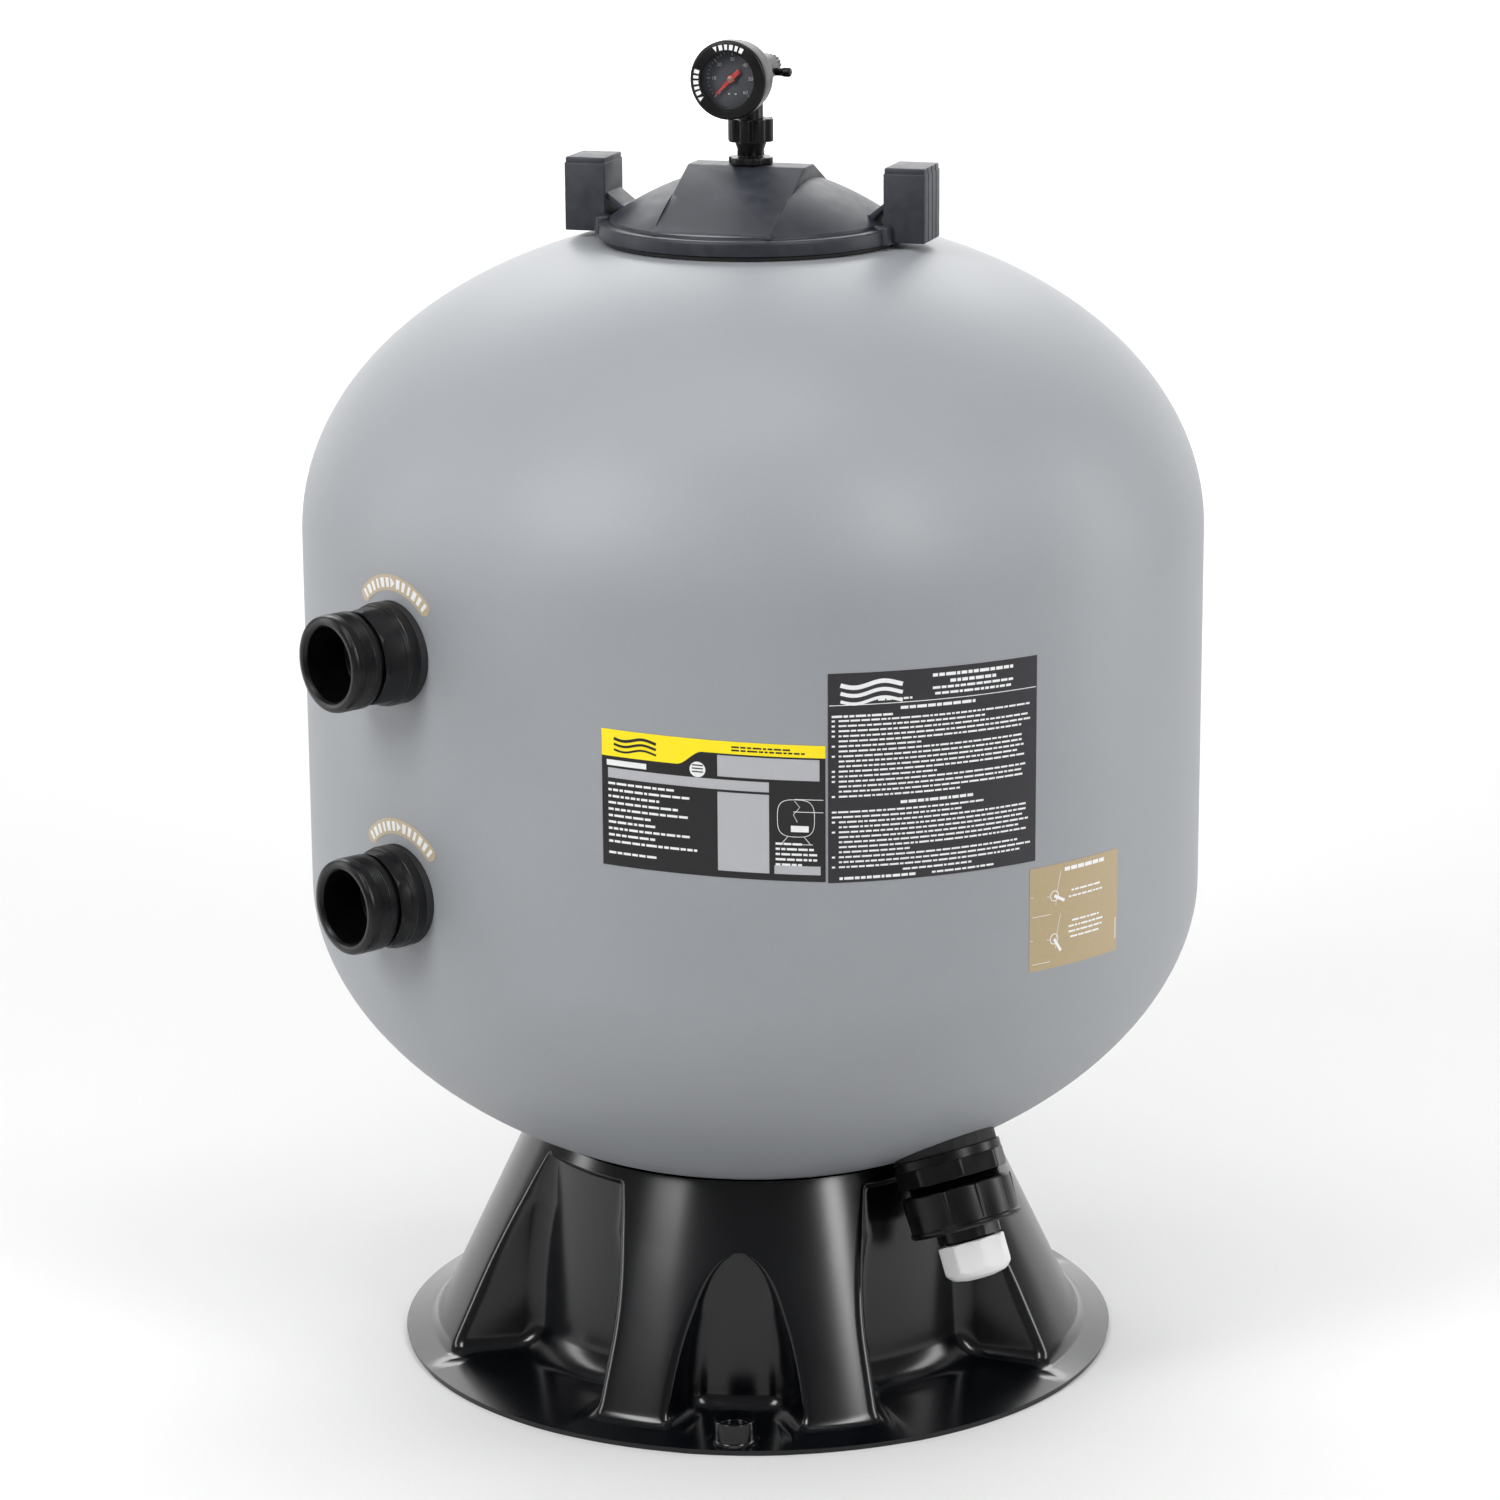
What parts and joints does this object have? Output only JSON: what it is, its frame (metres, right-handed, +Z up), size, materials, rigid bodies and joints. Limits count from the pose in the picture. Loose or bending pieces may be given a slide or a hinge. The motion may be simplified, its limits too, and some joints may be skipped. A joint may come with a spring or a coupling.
{
  "type": "sand filter tank",
  "caption": "Round side-mount sand filter tank on a skirted base, with a screw lid, pressure gauge, stacked side ports and a bottom drain.",
  "frame": {"origin": "middle of the bounding box, at the floor under the base", "axes": "+Z up; the outlet and inlet ports point towards -X, and the drain is on the -Y side"},
  "size_m": [0.829, 0.7636, 1.1305],
  "materials": {
    "tank_grey": "satin moulded polyethylene over a wound glass-fibre liner",
    "skirt_black": "gloss black vacuum-formed ABS",
    "fitting_black": "satin injection-moulded ABS",
    "lid_charcoal": "satin glass-filled nylon",
    "pipe_white": "smooth white PVC",
    "cap_white": "smooth white PVC",
    "seal_rubber": "matte EPDM",
    "label_black": "printed vinyl",
    "label_gold": "printed vinyl",
    "dial_black": "printed metal dial",
    "needle_red": "painted",
    "brass": "machined",
    "clear": "clear polycarbonate"
  },
  "bodies": {
    "tank": {"tank_shell": "tank_grey", "neck_ring": "fitting_black", "base_skirt": "skirt_black", "outlet_bulkhead": "fitting_black", "outlet_outer_gasket": "seal_rubber", "outlet_inner_gasket": "seal_rubber", "outlet_lock_nut": "fitting_black", "inlet_bulkhead": "fitting_black", "inlet_outer_gasket": "seal_rubber", "inlet_inner_gasket": "seal_rubber", "inlet_lock_nut": "fitting_black", "outlet_pipe": "pipe_white", "inlet_pipe": "pipe_white", "inlet_diffuser": "pipe_white", "lateral_hub": "pipe_white", "lateral_1": "pipe_white", "lateral_2": "pipe_white", "lateral_3": "pipe_white", "lateral_4": "pipe_white", "lateral_5": "pipe_white", "lateral_6": "pipe_white", "lateral_7": "pipe_white", "lateral_8": "pipe_white", "air_relief_tube": "pipe_white", "air_relief_screen": "pipe_white", "drain_bulkhead": "fitting_black", "drain_inner_gasket": "seal_rubber", "drain_outer_gasket": "seal_rubber", "drain_lock_nut": "fitting_black", "drain_screen": "pipe_white", "spec_label": "label_black", "instruction_label": "label_black", "drain_label": "label_gold", "outlet_label": "label_gold", "inlet_label": "label_gold"},
    "lid_seal": {"lid_seal": "seal_rubber"},
    "lid": {"lid": "lid_charcoal", "stem_nut": "fitting_black", "riser_stem": "fitting_black", "swivel_seal": "seal_rubber"},
    "swivel_nut": {"swivel_nut": "fitting_black"},
    "gauge_head": {"gauge_tee": "fitting_black", "gauge_case": "fitting_black", "gauge_dial": "dial_black", "needle_post": "brass", "gauge_lens": "clear"},
    "gauge_ring": {"gauge_ring": "fitting_black"},
    "gauge_needle": {"gauge_needle": "needle_red"},
    "bleed_washer": {"bleed_washer": "seal_rubber"},
    "bleed_knob": {"bleed_knob": "fitting_black"},
    "drain_tailpiece": {"drain_tailpiece": "fitting_black", "drain_o_ring": "seal_rubber"},
    "drain_union_nut": {"drain_union_nut": "fitting_black"},
    "drain_cap_washer": {"drain_cap_washer": "seal_rubber"},
    "drain_cap": {"drain_cap": "cap_white"}
  },
  "joints": [
    {"name": "lid_rise", "type": "slide", "parent": "tank", "child": "lid_seal", "axis": [0, 0, 1], "range_m": [0, 0.016]},
    {"name": "lid_turn", "type": "hinge", "parent": "lid_seal", "child": "lid", "pos_m": [0.0335, 0, 0.975], "axis": [0, 0, 1], "range_deg": [0, 720]},
    {"name": "swivel_nut_turn", "type": "hinge", "parent": "lid", "child": "swivel_nut", "pos_m": [0.0335, 0, 1.0525], "axis": [0, 0, 1], "range_deg": [0, 90]},
    {"name": "gauge_swivel", "type": "hinge", "parent": "lid", "child": "gauge_head", "pos_m": [0.0335, 0, 1.0575], "axis": [0, 0, 1], "range_deg": [-180, 180]},
    {"name": "gauge_ring_turn", "type": "hinge", "parent": "gauge_head", "child": "gauge_ring", "pos_m": [-0.01382, -0.029, 1.1], "axis": [-0.8526, -0.5225, 0], "continuous": true},
    {"name": "needle_sweep", "type": "hinge", "parent": "gauge_head", "child": "gauge_needle", "pos_m": [-0.01143, -0.02754, 1.1], "axis": [0.8526, 0.5225, 0], "range_deg": [0, 270]},
    {"name": "bleed_travel", "type": "slide", "parent": "gauge_head", "child": "bleed_washer", "axis": [0.8526, 0.5225, 0], "range_m": [0, 0.004]},
    {"name": "bleed_turn", "type": "hinge", "parent": "bleed_washer", "child": "bleed_knob", "pos_m": [0.07912, 0.02795, 1.1], "axis": [0.8526, 0.5225, 0], "range_deg": [0, 720]},
    {"name": "drain_union_travel", "type": "slide", "parent": "tank", "child": "drain_tailpiece", "axis": [0, -0.3987, -0.9171], "range_m": [0, 0.012]},
    {"name": "drain_union_turn", "type": "hinge", "parent": "drain_tailpiece", "child": "drain_union_nut", "pos_m": [0.0335, -0.25994, 0.17615], "axis": [0, -0.3987, -0.9171], "range_deg": [0, 1080]},
    {"name": "drain_cap_travel", "type": "slide", "parent": "drain_tailpiece", "child": "drain_cap_washer", "axis": [0, -0.3987, -0.9171], "range_m": [0, 0.01]},
    {"name": "drain_cap_turn", "type": "hinge", "parent": "drain_cap_washer", "child": "drain_cap", "pos_m": [0.0335, -0.27987, 0.13029], "axis": [0, -0.3987, -0.9171], "range_deg": [0, 1440]}
  ],
  "couplings": [
    {"joint": "lid_rise", "follows": "lid_turn", "m_per_rad": 0.0012732},
    {"joint": "bleed_travel", "follows": "bleed_turn", "m_per_rad": 0.00031831},
    {"joint": "drain_union_travel", "follows": "drain_union_turn", "m_per_rad": 0.00063662},
    {"joint": "drain_cap_travel", "follows": "drain_cap_turn", "m_per_rad": 0.00039789}
  ]
}
